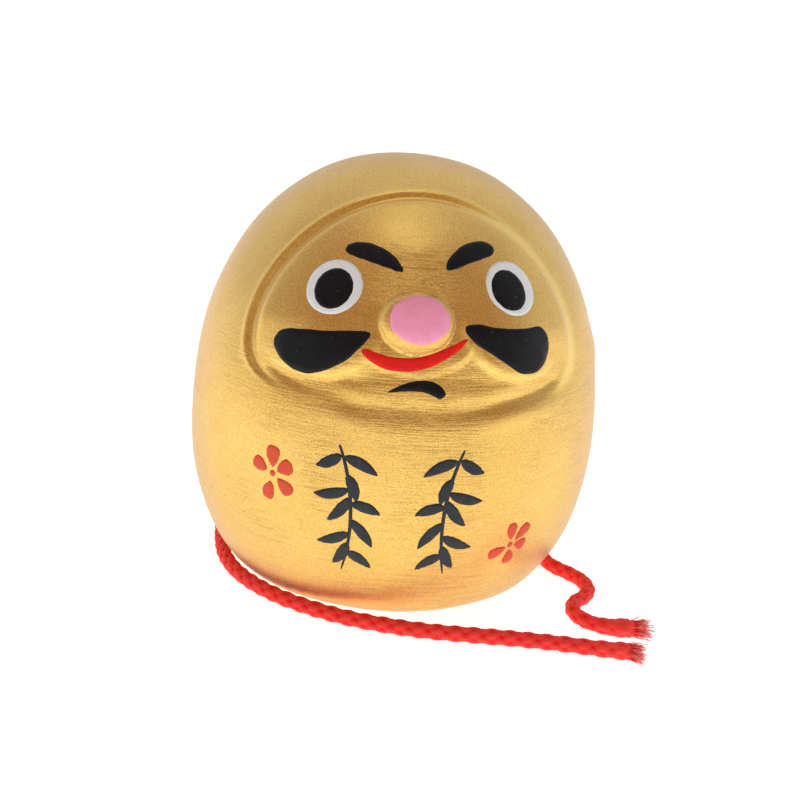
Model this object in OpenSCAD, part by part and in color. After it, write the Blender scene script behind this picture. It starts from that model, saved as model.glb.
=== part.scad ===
// Daruma doll of hollow fired clay, made as a bell: two press-moulded halves,
// a loose clay pellet inside, painted marks and a braided cord through the back.
// The base centre is the origin, the face looks along -Y and +Z is up.
// "left" and "right" are as seen by someone who faces the doll.

/* [Body] */
// Width of the body at its fullest
body_w = 56; // [52:1:60]
// Height of the body
body_h = 57.5; // [54:0.5:60]
// Height of the fullest place above the base
belly_z = 20.7; // [19:0.1:22]
// Height at which the rounded base edge runs into the side
base_blend = 2.6; // [2:0.1:3]
// Radius of the round hollow inside
hollow_r = 24; // [23:0.5:24.5]
// Height of the hollow's centre above the base
hollow_z = 28; // [27.5:0.1:29]

/* [Face] */
// Lean of the plane that the groove's outline is drawn in
face_tilt = 25; // [20:1:30]
// Half the width of the groove round the face
face_half_w = 20.2; // [19:0.1:21]
// Place of the outline's widest level, up the leaning plane from the base's centre
face_mid = 25.2; // [24:0.2:27]
// Rise of the groove above its widest level
face_rise = 17.7; // [17:0.1:18.5]
// Drop of the groove below its widest level
face_drop = 9.4; // [9:0.1:10]
// Width of the groove
groove_w = 1.6; // [1:0.1:2.2]
// Depth of the groove
groove_depth = 0.8; // [0.4:0.1:1.2]
// Radius of the ball that the nose is a cap of
nose_r = 4.8; // [4.4:0.1:5.2]
// How far the nose stands out of the face
nose_rise = 1.8; // [1.4:0.1:2.2]
// Radius of the white of an eye
eye_r = 3.6; // [3.2:0.1:4]
// Radius of a pupil
pupil_r = 2.5; // [2:0.05:2.8]

/* [Paint] */
// Thickness of one layer of paint
film = 0.15; // [0.1:0.01:0.2]

/* [Bell] */
// Width of the sound slot in the base
slot_w = 4.4; // [4:0.1:5]
// Distance between the round ends of the slot
slot_l = 22; // [18:1:24]
// Radius of the round ends of the slot
slot_end_r = 3.2; // [2.8:0.1:3.6]
// Radius of the loose pellet
pellet_r = 4.5; // [4.2:0.1:5]
// Room left between the pellet and the wall
pellet_gap = 0.3; // [0.3:0.05:0.5]

/* [Cord] */
// Diameter of the cord
cord_d = 2.1; // [1.9:0.1:2.2]
// Radius of the two holes that the cord goes through
cord_hole_r = 1.35; // [1.3:0.05:1.5]

/* [Hidden] */
$fn = 96;

gold = [0.80, 0.62, 0.28];
ink = [0.07, 0.08, 0.10];
sprig_ink = [0.20, 0.23, 0.25];
eye_white = [0.86, 0.89, 0.94];
nose_pink = [0.93, 0.56, 0.70];
lip_red = [0.84, 0.10, 0.08];
blossom_red = [0.90, 0.32, 0.26];
clay = [0.72, 0.45, 0.30];
cord_red = [0.95, 0.10, 0.10];

// ---- Outline of the body: two superellipse arcs that run into a rounded base edge ----
belly_r = body_w / 2;
// Exponents of radius and height above the belly
top_round = [2.15, 2.25];
// Exponents of radius and height below the belly
low_round = [3.0, 2.15];
// Depth at which the lower arc would close if the base didn't cut it
low_depth = belly_z * 1.25;
arc_steps = 26;
base_steps = 6;

// Radius of the body at height z, before its base edge is rounded
function body_r(z) =
  z > belly_z
    ? belly_r * pow(1 - pow((z - belly_z) / (body_h - belly_z), top_round[1]), 1 / top_round[0])
    : belly_r * pow(1 - pow((belly_z - z) / low_depth, low_round[1]), 1 / low_round[0]);

// Lean of the surface at height z: 0 is upright, 90 faces straight up
slope_step = 0.05;
function lean(z) = atan((body_r(z - slope_step) - body_r(z + slope_step)) / (2 * slope_step));

// The outline's points from the base edge to the crown
under_lean = -lean(base_blend);
base_round = base_blend / (1 - sin(under_lean));
flat_r = body_r(base_blend) - base_round * cos(under_lean);
base_pts = [for (i = [0 : base_steps - 1])
  let (a = (90 - under_lean) * i / base_steps)
  [flat_r + base_round * sin(a), base_round * (1 - cos(a))]];
low_pts = [for (i = [0 : arc_steps / 2])
  let (z = base_blend + (belly_z - base_blend) * sin(90 * 2 * i / arc_steps))
  [body_r(z), z]];
top_pts = [for (i = [1 : arc_steps])
  let (a = 90 * i / arc_steps)
  [belly_r * pow(cos(a), 2 / top_round[0]),
   belly_z + (body_h - belly_z) * pow(sin(a), 2 / top_round[1])]];
outline = concat(base_pts, low_pts, top_pts);
last = len(outline) - 1;

// The outline moved outwards by "grow", square to itself
function unit(v) = v / norm(v);
function square_to(i) =
  let (d = unit(outline[min(i + 1, last)] - outline[max(i - 1, 0)]))
  i == 0 ? [0, -1] : i == last ? [0, 1] : [d[1], -d[0]];
function grown(grow) = [for (i = [0 : last]) outline[i] + grow * square_to(i)];

// Solid of the body's outer shape, grown or shrunk
module body_solid(grow) {
  pts = grown(grow);
  rotate_extrude()
    polygon(concat([[0, pts[0][1]]], [for (p = pts) [max(p[0], 0), p[1]]], [[0, pts[last][1]]]));
}

// A skin of paint on the whole body: layer 0 lies on the clay, layer 1 on layer 0
module coat(layer) {
  inner = [for (p = grown(layer * film)) [max(p[0], 0), p[1]]];
  outer = [for (p = grown((layer + 1) * film)) [max(p[0], 0), p[1]]];
  rotate_extrude()
    polygon(concat([for (i = [base_steps : last]) outer[i]],
                   [for (i = [last : -1 : base_steps]) inner[i]]));
}

// Moves a drawing onto the surface at azimuth az and height z, facing outwards
module on_body(az, z) {
  rotate([0, 0, az])
    translate([0, -body_r(z), z])
      rotate([90 - lean(z), 0, 0])
        children();
}

// A painted mark: the flat drawing laid on the body as a film
mark_reach = 4;
module paint(az, z, layer = 0) {
  intersection() {
    coat(layer);
    on_body(az, z)
      translate([0, 0, -mark_reach])
        linear_extrude(2 * mark_reach)
          children();
  }
}

// ---- Brush strokes: a curved centre line with a swelling width ----
// a, b and c are the curve's start, control point and end; w is the half width.
// A small "from" or "to" gives a blunt end, and one near 1 gives a pointed end.
stroke_steps = 14;
function curve(a, b, c, t) = a * (1 - t) * (1 - t) + b * 2 * t * (1 - t) + c * t * t;
function side(a, b, c, t) =
  let (d = unit((b - a) * (1 - t) + (c - b) * t))
  [-d[1], d[0]];
function swell(t, from, to) =
  pow(t, from) * pow(1 - t, to)
  / (pow(from / (from + to), from) * pow(to / (from + to), to));
function edge_pt(a, b, c, w, from, to, i, way) =
  let (t = (1 - cos(180 * i / stroke_steps)) / 2)
  curve(a, b, c, t) + way * w * swell(t, from, to) * side(a, b, c, t);
// A round-cornered blot through the points of its edge
blot_steps = 5;
function bend(a, b, c, d, t) =
  (2 * b + (c - a) * t + (2 * a - 5 * b + 4 * c - d) * t * t + (3 * b - a - 3 * c + d) * t * t * t) / 2;
module blot(edge) {
  n = len(edge);
  polygon([for (i = [0 : n - 1], k = [0 : blot_steps - 1])
    bend(edge[(i + n - 1) % n], edge[i], edge[(i + 1) % n], edge[(i + 2) % n], k / blot_steps)]);
}

module stroke(a, b, c, w, from, to) {
  polygon(concat(
    [for (i = [0 : stroke_steps]) edge_pt(a, b, c, w, from, to, i, -1)],
    [for (i = [stroke_steps - 1 : -1 : 1]) edge_pt(a, b, c, w, from, to, i, 1)]));
}

// ---- Clay ----
half_space = body_w;
module half(way) {
  translate([-half_space, way > 0 ? 0 : -half_space, -half_space])
    cube([2 * half_space, half_space, 3 * half_space]);
}

module hollow() {
  translate([0, 0, hollow_z])
    sphere(hollow_r);
}

// Sound slot along X, with a round hole at each end
slot_start_z = -5;
module sound_slot() {
  translate([-slot_l / 2, -slot_w / 2, slot_start_z])
    cube([slot_l, slot_w, belly_z]);
  for (x = [-slot_l / 2, slot_l / 2])
    translate([x, 0, slot_start_z])
      cylinder(r = slot_end_r, h = belly_z);
}

// Outline of the face in its leaning plane, grown or shrunk
face_steps = 72;
// Exponents of the outline above and below its widest level
face_round = [1.85, 2.5];
function face_pt(a, grow) =
  let (h = a < 180 ? face_rise : face_drop, n = a < 180 ? face_round[0] : face_round[1])
  [(face_half_w + grow) * sign(cos(a)) * pow(abs(cos(a)), 2 / n),
   face_mid + (h + grow) * sign(sin(a)) * pow(abs(sin(a)), 2 / n)];
module face_outline(grow) {
  polygon([for (i = [0 : face_steps - 1]) face_pt(360 * i / face_steps, grow)]);
}

// Ring-shaped cutter that follows the edge of the face and is groove_depth deep
module face_groove() {
  difference() {
    rotate([90 - face_tilt, 0, 0])
      linear_extrude(body_w)
        difference() {
          face_outline(groove_w / 2);
          face_outline(-groove_w / 2);
        }
    body_solid(-groove_depth);
  }
}

nose_az = -1.3;
nose_z = 40.4;
module nose_ball(grow) {
  on_body(nose_az, nose_z)
    translate([0, 0, nose_rise - nose_r])
      sphere(nose_r + grow);
}

module face_shell() {
  color(gold)
    difference() {
      union() {
        difference() {
          intersection() {
            body_solid(0);
            half(-1);
          }
          face_groove();
        }
        nose_ball(0);
      }
      hollow();
      sound_slot();
    }
}

hole_x = 5;
hole_z = 44;
// Where the cord leaves the holes, just outside the back
mouth_y = 22;
hole_start_y = 12;
hole_len = 16;
module back_shell() {
  color(gold)
    difference() {
      intersection() {
        body_solid(0);
        half(1);
      }
      hollow();
      sound_slot();
      for (x = [-hole_x, hole_x])
        translate([x, hole_start_y, hole_z])
          rotate([-90, 0, 0])
            cylinder(r = cord_hole_r, h = hole_len);
    }
}

// The pellet lies at the bottom of the hollow and rolls to and fro in it
module pellet() {
  color(clay)
    translate([0, 0, hollow_z - hollow_r + pellet_r + pellet_gap])
      sphere(pellet_r);
}

// ---- Painted face ----
eye_left = [-26.8, 43.2];
eye_right = [28.2, 44.1];
pupil_right_in = -0.4;

module eye_white_left() {
  color(eye_white)
    paint(eye_left[0], eye_left[1]) circle(eye_r);
}
module eye_white_right() {
  color(eye_white)
    paint(eye_right[0], eye_right[1]) circle(eye_r);
}
module pupil_left() {
  color(ink)
    paint(eye_left[0], eye_left[1], 1) circle(pupil_r);
}
module pupil_right() {
  color(ink)
    paint(eye_right[0], eye_right[1], 1) translate([pupil_right_in, 0]) circle(pupil_r);
}
module eyebrow_left() {
  color(ink)
    paint(-17.4, 47) stroke([-3.4, 0.7], [0.3, 0.9], [4.1, -1.6], 1.15, 0.45, 0.6);
}
module eyebrow_right() {
  color(ink)
    paint(15.8, 47.6) stroke([3.5, 1.1], [0.2, 1.2], [-3.4, -1.8], 1.25, 0.4, 0.5);
}
moustache_left_edge = [
  [-6.3, 0.9], [-5.2, 1.9], [-2.5, 2.3], [1, 2.6], [5.7, 3.2], [5, 1.2], [3.2, -0.9],
  [0, -2.6], [-2.6, -2.7], [-5, -1.6], [-6.3, -0.2]];
moustache_right_edge = [
  [-6.1, 2.9], [-4.9, 3.3], [-2, 2.7], [1.4, 2.4], [4.6, 2.5], [6, 0.9], [5.6, -1.3],
  [4, -2.8], [1.2, -3], [-2, -1.2], [-5.2, 1.2]];
module moustache_left() {
  color(ink)
    paint(-27.2, 35.9) blot(moustache_left_edge);
}
module moustache_right() {
  color(ink)
    paint(25.3, 37.3) blot(moustache_right_edge);
}
module mouth_paint() {
  color(lip_red)
    paint(-2.2, 35.9) stroke([-6.1, 0.8], [-0.4, -2.7], [6, 2.8], 0.8, 0.35, 0.35);
}
module chin_mark() {
  color(ink)
    paint(0.1, 32.7) stroke([-3.9, -0.4], [1, 1.6], [2.7, -0.7], 0.75, 0.7, 0.3);
}
nose_paint_half = [3.5, 2.8];
module nose_paint() {
  color(nose_pink)
    intersection() {
      difference() {
        nose_ball(film);
        nose_ball(0);
      }
      on_body(nose_az, nose_z)
        linear_extrude(mark_reach)
          polygon([for (i = [0 : face_steps - 1])
            let (a = 360 * i / face_steps)
            [nose_paint_half[0] * cos(a), nose_paint_half[1] * sin(a)]]);
    }
}

// ---- Plum blossoms: five petals, pointed towards a round dot ----
// Each petal is [direction, inner end, outer end, half width]
petals_left = [
  [90, 0.8, 3.6, 1], [158, 0.9, 3.2, 0.95], [256, 1.1, 3.6, 0.9], [322, 0.9, 3.5, 0.95],
  [30, 0.8, 3.2, 1]];
petals_right = [
  [96, 0.8, 3.3, 0.8], [44, 0.9, 3.7, 0.85], [350, 0.7, 2.7, 0.85], [278, 0.8, 3.1, 0.85],
  [203, 0.7, 3.3, 0.85]];
dot_r = 0.35;
module blossom(petals) {
  circle(dot_r);
  for (p = petals)
    rotate(p[0])
      stroke([p[2], 0], [(p[1] + p[2]) / 2, 0], [p[1], 0], p[3], 0.4, 0.8);
}
module blossom_left() {
  color(blossom_red)
    paint(-36.8, 20) blossom(petals_left);
}
module blossom_right() {
  color(blossom_red)
    paint(29.9, 12) blossom(petals_right);
}

// ---- Bamboo sprigs in ink: a bent stem with drooping leaves ----
// Each leaf is [x, y, direction, length], from its foot on the stem
stem = [[-1.2, 8.6], [2.2, 1], [-0.4, -8.4]];
stem_w = 0.24;
leaf_w = 0.72;
leaf_bow = 0.12;
leaves = [
  [-0.9, 7.4, -150, 3.6], [-0.5, 7.2, -25, 4.6], [0, 5.0, -68, 3.6],
  [0.3, 3.2, -165, 4.6], [0.5, 2.2, -128, 4.4], [0.7, 1.4, -18, 3.8],
  [0.6, -0.8, -52, 4.6], [0.5, -2.6, -155, 4.4], [0.4, -4.0, -118, 4.0],
  [0.2, -5.4, -35, 3.8]];
module leaf(foot, direction, length) {
  translate(foot)
    rotate(direction)
      stroke([0, 0], [length / 2, leaf_bow * length], [length, 0], leaf_w, 0.6, 0.8);
}
module sprig() {
  stroke(stem[0], stem[1], stem[2], stem_w, 0.2, 0.3);
  for (l = leaves)
    leaf([l[0], l[1]], l[2], l[3]);
}
module leaf_sprig_left() {
  color(sprig_ink)
    paint(-16.5, 16.8) sprig();
}
module leaf_sprig_right() {
  color(sprig_ink)
    paint(9.8, 17.0) mirror([1, 0]) sprig();
}

// ---- Cord: one braided cord through both holes, with two free ends ----
cord_r = cord_d / 2;
sides = 8;
// From the left hole's mouth through the hollow to the right hole's mouth
bight_route = [
  [-5, 22, 44], [-5, 17, 44], [-4.9, 14, 43.9], [-3.6, 11.2, 43.4], [-1.4, 9.8, 43.1],
  [1.4, 9.8, 43.1], [3.6, 11.2, 43.4], [4.9, 14, 43.9], [5, 17, 44], [5, 22, 44]];
// From the left hole down the back, round the left of the base and across the front
left_route = [
  [-5, 22, 44], [-5, 23.6, 44], [-5, 25.6, 43.4], [-5, 27.2, 41.8], [-5.1, 27.8, 39.6],
  [-5.4, 28.1, 35.4], [-5.8, 28.7, 30.6], [-6.2, 29.2, 25.6], [-6.6, 29.4, 20.6],
  [-7, 29.5, 15.6], [-7.4, 29.5, 10.6], [-7.9, 29.5, 6], [-8.8, 29.4, 3.4], [-10.6, 29, 1.7],
  [-13, 28.1, 1.1], [-16.8, 25.8, 1.1], [-20.1, 22, 1.1], [-22.2, 17, 1.1],
  [-23.2, 11.4, 1.1], [-23.5, 5.6, 1.1], [-23.3, 0, 1.1], [-22.6, -5.2, 1.1],
  [-21, -9.9, 1.1], [-18.5, -14, 1.1], [-15.2, -17.6, 1.1], [-11.4, -20.5, 1.1],
  [-7, -23, 1.1], [-2, -24.9, 1.1], [3.4, -26.3, 1.1], [9, -27.1, 1.1],
  [14.4, -27.8, 1.1], [19.6, -28.7, 1.1], [24.6, -29.8, 1.1], [29.2, -30.6, 1.1]];
// From the right hole down the back, round the right of the base and out in a bend
right_route = [
  [5, 22, 44], [5, 23.6, 44], [5, 25.6, 43.4], [5, 27.2, 41.8], [5.1, 27.8, 39.6],
  [5.4, 28.1, 35.4], [5.8, 28.7, 30.6], [6.2, 29.2, 25.6], [6.6, 29.4, 20.6],
  [7, 29.5, 15.6], [7.4, 29.5, 10.6], [7.9, 29.5, 6], [8.8, 29.4, 3.4], [10.6, 29, 1.7],
  [13, 28.1, 1.1], [16.6, 25.6, 1.1], [19.8, 21.6, 1.1], [22.2, 16.4, 1.1],
  [23.4, 10.8, 1.1], [23.5, 5.6, 1.1], [23.3, 1, 1.1], [23.3, -2.6, 1.1], [24.2, -5.6, 1.1],
  [25.9, -7.8, 1.1], [27.3, -10.2, 1.1], [27.6, -13, 1.1], [26.4, -15.4, 1.1],
  [24.7, -17.2, 1.1], [23.9, -19.6, 1.1], [24.6, -22, 1.1], [26.5, -23.6, 1.1],
  [28.9, -24.2, 1.1], [31.3, -24.1, 1.1]];

// Direction of a route at its point i, and a side vector carried along it
function along(pts, i) = unit(pts[min(i + 1, len(pts) - 1)] - pts[max(i - 1, 0)]);
function carried(pts, v, i) = unit(v - (v * along(pts, i)) * along(pts, i));
function side_vectors(pts, i = 0, v = [1, 0, 0]) =
  i == len(pts)
    ? []
    : let (s = carried(pts, v, i)) concat([s], side_vectors(pts, i + 1, s));

// Plain tube along a route, with one ring of corners at each of its points
module tube(pts) {
  rings = len(pts);
  across = side_vectors(pts);
  corners = [for (i = [0 : rings - 1], k = [0 : sides - 1])
    let (a = 360 * k / sides)
    let (up = cross(along(pts, i), across[i]))
    pts[i] + cord_r * (cos(a) * across[i] + sin(a) * up)];
  walls = [for (i = [0 : rings - 2], k = [0 : sides - 1])
    let (next = (k + 1) % sides)
    [i * sides + k, (i + 1) * sides + k, (i + 1) * sides + next, i * sides + next]];
  ends = [[for (k = [0 : sides - 1]) k],
          [for (k = [sides - 1 : -1 : 0]) (rings - 1) * sides + k]];
  polyhedron(corners, concat(walls, ends));
}

module cord_bight() {
  color(cord_red)
    tube(bight_route);
}
module cord_left() {
  color(cord_red)
    tube(left_route);
}
module cord_right() {
  color(cord_red)
    tube(right_route);
}

face_shell();
back_shell();
pellet();
eye_white_left();
eye_white_right();
pupil_left();
pupil_right();
eyebrow_left();
eyebrow_right();
moustache_left();
moustache_right();
nose_paint();
mouth_paint();
chin_mark();
blossom_left();
blossom_right();
leaf_sprig_left();
leaf_sprig_right();
cord_bight();
cord_left();
cord_right();
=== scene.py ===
"""Daruma doll bell: the looks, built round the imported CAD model.

Lengths are given in millimetres and turned into metres by MM as the meshes are made.
The face looks along -Y. "left" and "right" are as seen by someone who faces the doll.
"""

import math
import random

import bpy
import numpy as np
from mathutils import Matrix, Vector, geometry
from mathutils.bvhtree import BVHTree


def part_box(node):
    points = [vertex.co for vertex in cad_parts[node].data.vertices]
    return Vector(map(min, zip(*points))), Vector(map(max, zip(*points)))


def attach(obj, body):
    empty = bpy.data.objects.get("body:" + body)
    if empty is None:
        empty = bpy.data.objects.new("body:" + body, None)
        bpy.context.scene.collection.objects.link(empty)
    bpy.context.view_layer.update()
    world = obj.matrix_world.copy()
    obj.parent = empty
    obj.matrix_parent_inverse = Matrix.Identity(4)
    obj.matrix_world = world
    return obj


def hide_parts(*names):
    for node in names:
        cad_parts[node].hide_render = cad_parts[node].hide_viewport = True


MM = 0.001
ROOT_BODY = "doll"

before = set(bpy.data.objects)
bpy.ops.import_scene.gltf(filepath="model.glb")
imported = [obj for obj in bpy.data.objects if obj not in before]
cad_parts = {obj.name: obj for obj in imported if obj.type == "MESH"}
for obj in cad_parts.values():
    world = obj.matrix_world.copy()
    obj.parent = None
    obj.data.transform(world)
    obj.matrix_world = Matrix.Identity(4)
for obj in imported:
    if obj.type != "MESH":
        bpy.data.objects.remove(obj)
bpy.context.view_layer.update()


# ---------------------------------------------------------------- small helpers

def smooth(low, high, x):
    """0 below low, 1 above high, and a soft step between them (low may be the larger)."""
    t = np.clip((x - low) / (high - low), 0, 1)
    return t * t * (3 - 2 * t)


def bump(x, middle, width):
    """A bell of height 1 round middle."""
    return np.exp(-((x - middle) / width) ** 2)


def trough(x, middle, outer, inner):
    """A bell of height 1 whose outer and inner walls have widths of their own."""
    return bump(np.where(x > middle, (x - middle) / outer, (x - middle) / inner), 0, 1)


def unit(v):
    return v / np.linalg.norm(v, axis=-1, keepdims=True)


def new_piece(name, points_mm, faces, material, shade_smooth=True):
    """A mesh object from points in millimetres."""
    mesh = bpy.data.meshes.new(name)
    mesh.from_pydata([tuple(p * MM) for p in np.asarray(points_mm, float)], [], faces)
    mesh.validate()
    if shade_smooth:
        mesh.shade_smooth()
    mesh.materials.append(material)
    piece = bpy.data.objects.new(name, mesh)
    bpy.context.collection.objects.link(piece)
    return piece


def store(piece, name, values):
    """Stores a number from 0 to 1 at each point, which a material follows."""
    layer = piece.data.attributes.new(name, "FLOAT", "POINT")
    layer.data.foreach_set("value", np.asarray(values, np.float32))


def settle(piece, nodes):
    """Every piece rides on the doll and hides the CAD nodes that it stands for."""
    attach(piece, ROOT_BODY)
    if nodes:
        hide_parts(*nodes)
    return piece


# ---------------------------------------------------------------- camera

CAM_AZIMUTH = math.radians(-6.5)
CAM_ELEVATION = math.radians(15.0)
CAM_ROLL = math.radians(4.6)
CAM_DISTANCE = 168.0
CAM_LENS = 54.1
# The point that the camera looks at lies below and beside the middle of the doll
AIM_DOWN = 5.2
AIM_RIGHT = 0.85


def make_camera():
    sin_a, cos_a = math.sin(CAM_AZIMUTH), math.cos(CAM_AZIMUTH)
    sin_e, cos_e = math.sin(CAM_ELEVATION), math.cos(CAM_ELEVATION)
    back = Vector((sin_a * cos_e, -cos_a * cos_e, sin_e))
    right = Vector((cos_a, sin_a, 0))
    up = back.cross(right)
    middle = Vector((0, 0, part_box("back_shell")[1][2] / 2))
    data = bpy.data.cameras.new("camera")
    data.lens = CAM_LENS
    data.clip_start = 0.01
    cam = bpy.data.objects.new("camera", data)
    bpy.context.collection.objects.link(cam)
    cam.location = middle + back * CAM_DISTANCE * MM
    aim = middle + (right * AIM_RIGHT - up * AIM_DOWN) * MM
    turn = (aim - cam.location).to_track_quat("-Z", "Y").to_matrix()
    cam.rotation_euler = (turn @ Matrix.Rotation(CAM_ROLL, 3, "Z")).to_euler()
    bpy.context.scene.camera = cam


make_camera()


# ---------------------------------------------------------------- materials

# Where the brush left clear marks: (place, how far they reach)
BRUSHED_BRIDGE = ((-0.8, -22.0, 44.6), 8.0)
BRUSHED_CHIN = ((0.0, -27.5, 31.5), 11.0)
# The brush marks fade out above this height, over the second figure
BRUSHED_BELOW = (33.0, 8.0)
# Gold in its deeper and brighter clouds, and the brighter gold of the painted highlight
GOLD_DEEP = (0.89, 0.595, 0.150)
GOLD_BRIGHT = (0.95, 0.650, 0.185)
GOLD_HIGHLIGHT = (1.0, 0.76, 0.19, 1)
CLAY_DARK = (0.36, 0.17, 0.09)
CLAY_LIGHT = (0.52, 0.28, 0.16)
FLECK = (0.42, 0.30, 0.12, 1)
# Red yarn with painted shade between the plies, lighter over their sides and tops, and paler towards
# loose tips
YARN_SHADE_STOPS = ((0.0, (0.76, 0.009, 0.010)), (0.30, (1.0, 0.034, 0.030)),
              (0.56, (1.0, 0.080, 0.070)), (1.0, (1.0, 0.55, 0.53)))


class Nodes:
    """Short ways to add shader nodes to one material."""

    def __init__(self, name):
        self.material = bpy.data.materials.new(name)
        self.material.use_nodes = True
        self.tree = self.material.node_tree
        self.shader = self.tree.nodes["Principled BSDF"]

    def add(self, kind, **sockets):
        node = self.tree.nodes.new(kind)
        for key, value in sockets.items():
            name = key.replace("_", " ")
            if isinstance(value, bpy.types.NodeSocket):
                self.tree.links.new(value, node.inputs[name])
            else:
                node.inputs[name].default_value = value
        return node

    def place(self, stretch=(1, 1, 1)):
        """Object coordinates in millimetres, stretched by the given factors."""
        coords = self.tree.nodes.new("ShaderNodeTexCoord")
        mapping = self.tree.nodes.new("ShaderNodeMapping")
        mapping.inputs["Scale"].default_value = [s / MM for s in stretch]
        self.tree.links.new(coords.outputs["Object"], mapping.inputs["Vector"])
        return mapping.outputs["Vector"]

    def noise(self, vector, scale, detail=2.0, roughness=0.5):
        node = self.add("ShaderNodeTexNoise", Vector=vector, Scale=scale, Detail=detail,
                        Roughness=roughness)
        return node.outputs["Fac"]

    def stored(self, name):
        """A number stored at the mesh's points."""
        node = self.tree.nodes.new("ShaderNodeAttribute")
        node.attribute_name = name
        return node.outputs["Fac"]

    def ramp(self, value, *stops):
        node = self.add("ShaderNodeValToRGB", Fac=value)
        ramp = node.color_ramp
        while len(ramp.elements) < len(stops):
            ramp.elements.new(0.5)
        for element, (place, colour) in zip(ramp.elements, stops):
            element.position = place
            element.color = (*colour, 1)
        return node.outputs["Color"]

    def blend(self, factor, first, second, mode="MIX"):
        node = self.tree.nodes.new("ShaderNodeMix")
        node.data_type = "RGBA"
        node.blend_type = mode
        for socket, value in (("Factor", factor), ("A", first), ("B", second)):
            target = next(s for s in node.inputs if s.name == socket and s.enabled)
            if isinstance(value, bpy.types.NodeSocket):
                self.tree.links.new(value, target)
            else:
                target.default_value = value
        return next(s for s in node.outputs if s.enabled)

    def maths(self, operation, *values):
        node = self.tree.nodes.new("ShaderNodeMath")
        node.operation = operation
        for socket, value in zip(node.inputs, values):
            if isinstance(value, bpy.types.NodeSocket):
                self.tree.links.new(value, socket)
            else:
                socket.default_value = value
        return node.outputs["Value"]

    def near(self, centre, radius):
        """1 at a centre, falling to 0 at a radius, both in millimetres."""
        gap = self.tree.nodes.new("ShaderNodeVectorMath")
        gap.operation = "DISTANCE"
        self.tree.links.new(self.place(), gap.inputs[0])
        gap.inputs[1].default_value = centre
        node = self.add("ShaderNodeMapRange", Value=gap.outputs["Value"])
        node.interpolation_type = "SMOOTHSTEP"
        for socket, value in (("From Min", radius), ("From Max", 0.3 * radius)):
            node.inputs[socket].default_value = value
        return node.outputs["Result"]

    def below(self, height, fade):
        """1 well below a height in millimetres, falling to 0.12 a fade above it."""
        split = self.add("ShaderNodeSeparateXYZ", Vector=self.place())
        node = self.add("ShaderNodeMapRange", Value=split.outputs["Z"])
        for socket, value in (("From Min", height), ("From Max", height + fade),
                              ("To Min", 1.0), ("To Max", 0.12)):
            node.inputs[socket].default_value = value
        return node.outputs["Result"]

    def bumps(self, *layers):
        """Bump layers of (height, strength, distance in millimetres), laid on one another."""
        normal = None
        for height, strength, distance in layers:
            node = self.add("ShaderNodeBump", Height=height, Strength=strength,
                            Distance=distance * MM)
            if normal is not None:
                self.tree.links.new(normal, node.inputs["Normal"])
            normal = node.outputs["Normal"]
        self.tree.links.new(normal, self.shader.inputs["Normal"])

    def shade(self, **sockets):
        for key, value in sockets.items():
            name = key.replace("_", " ")
            if isinstance(value, bpy.types.NodeSocket):
                self.tree.links.new(value, self.shader.inputs[name])
            else:
                self.shader.inputs[name].default_value = value
        return self.material


def gold_material():
    """Metallic gold paint: fine flakes, brushed nearly level, over slightly uneven clay."""
    n = Nodes("gold_paint")
    place = n.place()
    flakes = n.noise(place, 7.0, 1.0, 0.6)
    clouds = n.noise(place, 0.22, 3.0)
    streaks = n.noise(n.place((0.22, 0.22, 3.6)), 1.0, 4.0, 0.7)
    patches = n.ramp(n.noise(place, 0.11, 2.0), (0.40, (0.15,) * 3), (0.62, (0.8,) * 3))
    patches = n.maths("MULTIPLY", patches, n.below(*BRUSHED_BELOW))
    # The brush left its marks most clearly across the bridge of the nose and on the chin
    combed = n.maths("MAXIMUM", n.near(*BRUSHED_BRIDGE), n.near(*BRUSHED_CHIN))
    combed = n.maths("MAXIMUM", combed, patches)
    tone = n.ramp(clouds, (0.3, GOLD_DEEP), (0.7, GOLD_BRIGHT))
    lit = n.ramp(flakes, (0.28, (0.66, 0.64, 0.60)), (0.72, (1.1,) * 3))
    worn = n.ramp(streaks, (0.36, (0.72, 0.70, 0.66)), (0.52, (1, 1, 1)))
    worn = n.blend(combed, (1, 1, 1, 1), worn)
    colour = n.blend(1.0, n.blend(1.0, tone, lit, "MULTIPLY"), worn, "MULTIPLY")
    # Painted highlight along the carved edges, under the cheek mounds and under the nose: brighter,
    # less metallic gold, flecked where the flakes are
    glint = n.ramp(flakes, (0.30, (0.45,) * 3), (0.62, (1,) * 3))
    highlight_mask = n.maths("MULTIPLY", n.stored("painted_highlight"), glint)
    colour = n.blend(highlight_mask, colour, GOLD_HIGHLIGHT)
    metal = n.maths("MULTIPLY_ADD", highlight_mask, -0.35, 1.0)
    rough = n.maths("MULTIPLY_ADD", flakes, 0.26, 0.21)
    n.bumps((n.maths("MULTIPLY", streaks, combed), 0.9, 0.16), (flakes, 0.9, 0.035))
    return n.shade(Base_Color=colour, Metallic=metal, Roughness=rough, Sheen_Weight=0.40,
                   Sheen_Roughness=0.5, Sheen_Tint=(1.0, 0.90, 0.82, 1),
                   Specular_Tint=(0.74, 0.70, 0.70, 1))


def paint_material(name, colour, deep, rough, flecks=0.0):
    """A brushed film of opaque paint; flecks of the gold below may show through."""
    n = Nodes(name)
    place = n.place()
    cloud = n.noise(place, 0.8, 3.0)
    body = n.ramp(cloud, (0.3, deep), (0.7, colour))
    if flecks:
        dots = n.ramp(n.noise(place, 5.5, 1.0), (0.80 - flecks, (0,) * 3), (0.83 - flecks, (1,) * 3))
        body = n.blend(dots, body, FLECK)
    sweep = n.noise(n.place((0.5, 0.5, 3.0)), 1.2, 3.0)
    grain = n.noise(place, 4.0, 2.0)
    n.bumps((sweep, 0.25, 0.06), (grain, 0.2, 0.02))
    return n.shade(Base_Color=body, Roughness=rough, Specular_IOR_Level=0.22)


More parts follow.
